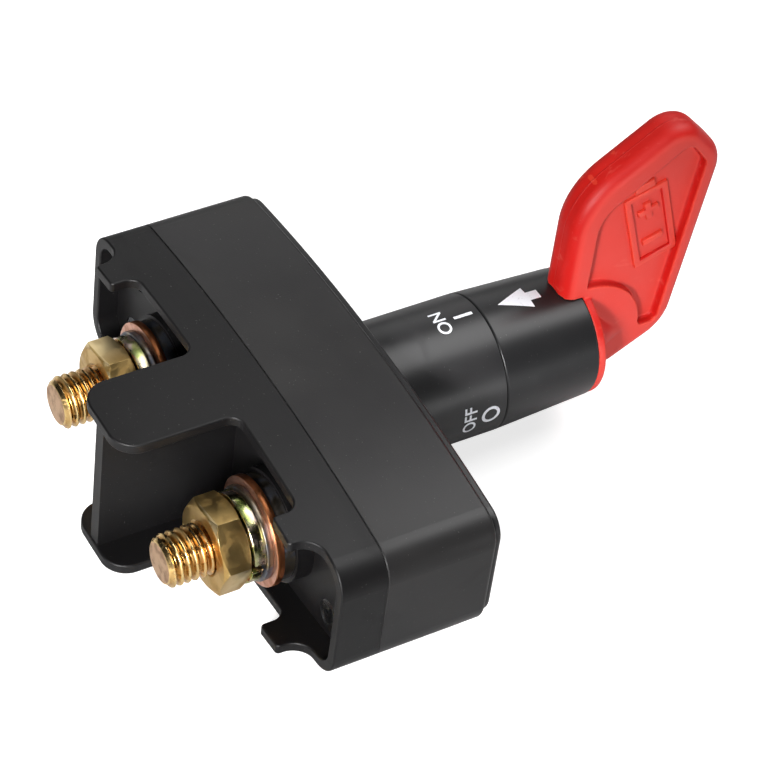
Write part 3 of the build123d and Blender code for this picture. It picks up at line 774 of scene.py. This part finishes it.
# ---- floor, light and camera ----
def pale_floor():
    shape = bmesh.new()
    bmesh.ops.create_grid(shape, x_segments=1, y_segments=1, size=3.0)
    bmesh.ops.translate(shape, verts=shape.verts, vec=(0, 0, cad_low.z))
    mesh = bpy.data.meshes.new("floor")
    shape.to_mesh(mesh)
    shape.free()
    floor = bpy.data.objects.new("floor", mesh)
    scene.collection.objects.link(floor)
    paint = bpy.data.materials.new("pale_floor")
    paint.use_nodes = True
    nodes, links = paint.node_tree.nodes, paint.node_tree.links
    shader = nodes["Principled BSDF"]
    shader.inputs["Base Color"].default_value = (0.6, 0.6, 0.6, 1)
    shader.inputs["Roughness"].default_value = 0.9
    shader.inputs["Emission Color"].default_value = (1, 1, 1, 1)
    glow = nodes.new("ShaderNodeMath")
    glow.operation = "MULTIPLY"
    glow.inputs[1].default_value = floor_glow
    links.new(nodes.new("ShaderNodeLightPath").outputs["Is Camera Ray"], glow.inputs[0])
    links.new(glow.outputs["Value"], shader.inputs["Emission Strength"])
    cover(floor, paint)


def soft_world():
    """White behind the object, and a softer sky that is brighter overhead as its light."""
    world = bpy.data.worlds.new("studio")
    scene.world = world
    world.use_nodes = True
    nodes, links = world.node_tree.nodes, world.node_tree.links
    light = nodes["Background"]
    seen = nodes.new("ShaderNodeBackground")
    seen.inputs["Color"].default_value = (1, 1, 1, 1)
    split = nodes.new("ShaderNodeSeparateXYZ")
    links.new(nodes.new("ShaderNodeTexCoord").outputs["Generated"], split.inputs["Vector"])
    height = nodes.new("ShaderNodeMapRange")
    for socket, number in (("From Min", 0.2), ("From Max", 0.95), ("To Min", 0.04), ("To Max", sky_glow)):
        height.inputs[socket].default_value = number
    links.new(split.outputs["Z"], height.inputs["Value"])
    links.new(height.outputs["Result"], light.inputs["Strength"])
    chooser = nodes.new("ShaderNodeMixShader")
    links.new(nodes.new("ShaderNodeLightPath").outputs["Is Camera Ray"], chooser.inputs["Fac"])
    links.new(light.outputs["Background"], chooser.inputs[1])
    links.new(seen.outputs["Background"], chooser.inputs[2])
    links.new(chooser.outputs["Shader"], nodes["World Output"].inputs["Surface"])


def softbox(name, away, size, power, aim=(0, 0, 0), spread=180):
    """A square softbox; away and aim are metres from the object's middle, spread is in degrees."""
    middle = (cad_low + cad_high) / 2
    lamp = bpy.data.lights.new(name, "AREA")
    lamp.size = size
    lamp.energy = power
    lamp.spread = math.radians(spread)
    holder = bpy.data.objects.new(name, lamp)
    holder.location = middle + Vector(away)
    holder.rotation_euler = (Vector(aim) - Vector(away)).to_track_quat("-Z", "Y").to_euler()
    holder.visible_camera = False
    scene.collection.objects.link(holder)


def viewing_camera():
    lens = bpy.data.cameras.new("camera")
    lens.lens = 148.6
    lens.sensor_width = 36.0
    holder = bpy.data.objects.new("camera", lens)
    right = Vector((-0.4881, -0.8671, 0.0997))
    upward = Vector((0.6508, -0.2854, 0.7036))
    back = Vector((-0.5816, 0.4083, 0.7036))
    turn = Matrix((right, upward, back)).transposed().to_4x4()
    holder.matrix_world = Matrix.Translation((-0.34305, 0.23728, 0.41677)) @ turn
    scene.collection.objects.link(holder)
    scene.camera = holder


pale_floor()
soft_world()
softbox("key", away=(0.0, -0.4, 0.6), size=0.5, power=4.9)
softbox("far", away=(0.75, -0.35, 0.4), size=0.5, power=0.9)
softbox("terminals", away=(-0.32, 0.42, 0.2), size=0.14, power=0.2, aim=(0, 0.06, 0), spread=22)
softbox("hub", away=(-0.36, -0.12, -0.01), size=0.1, power=0.012, aim=(0, -0.04, -0.022), spread=11)
viewing_camera()
scene.view_settings.view_transform = "Standard"
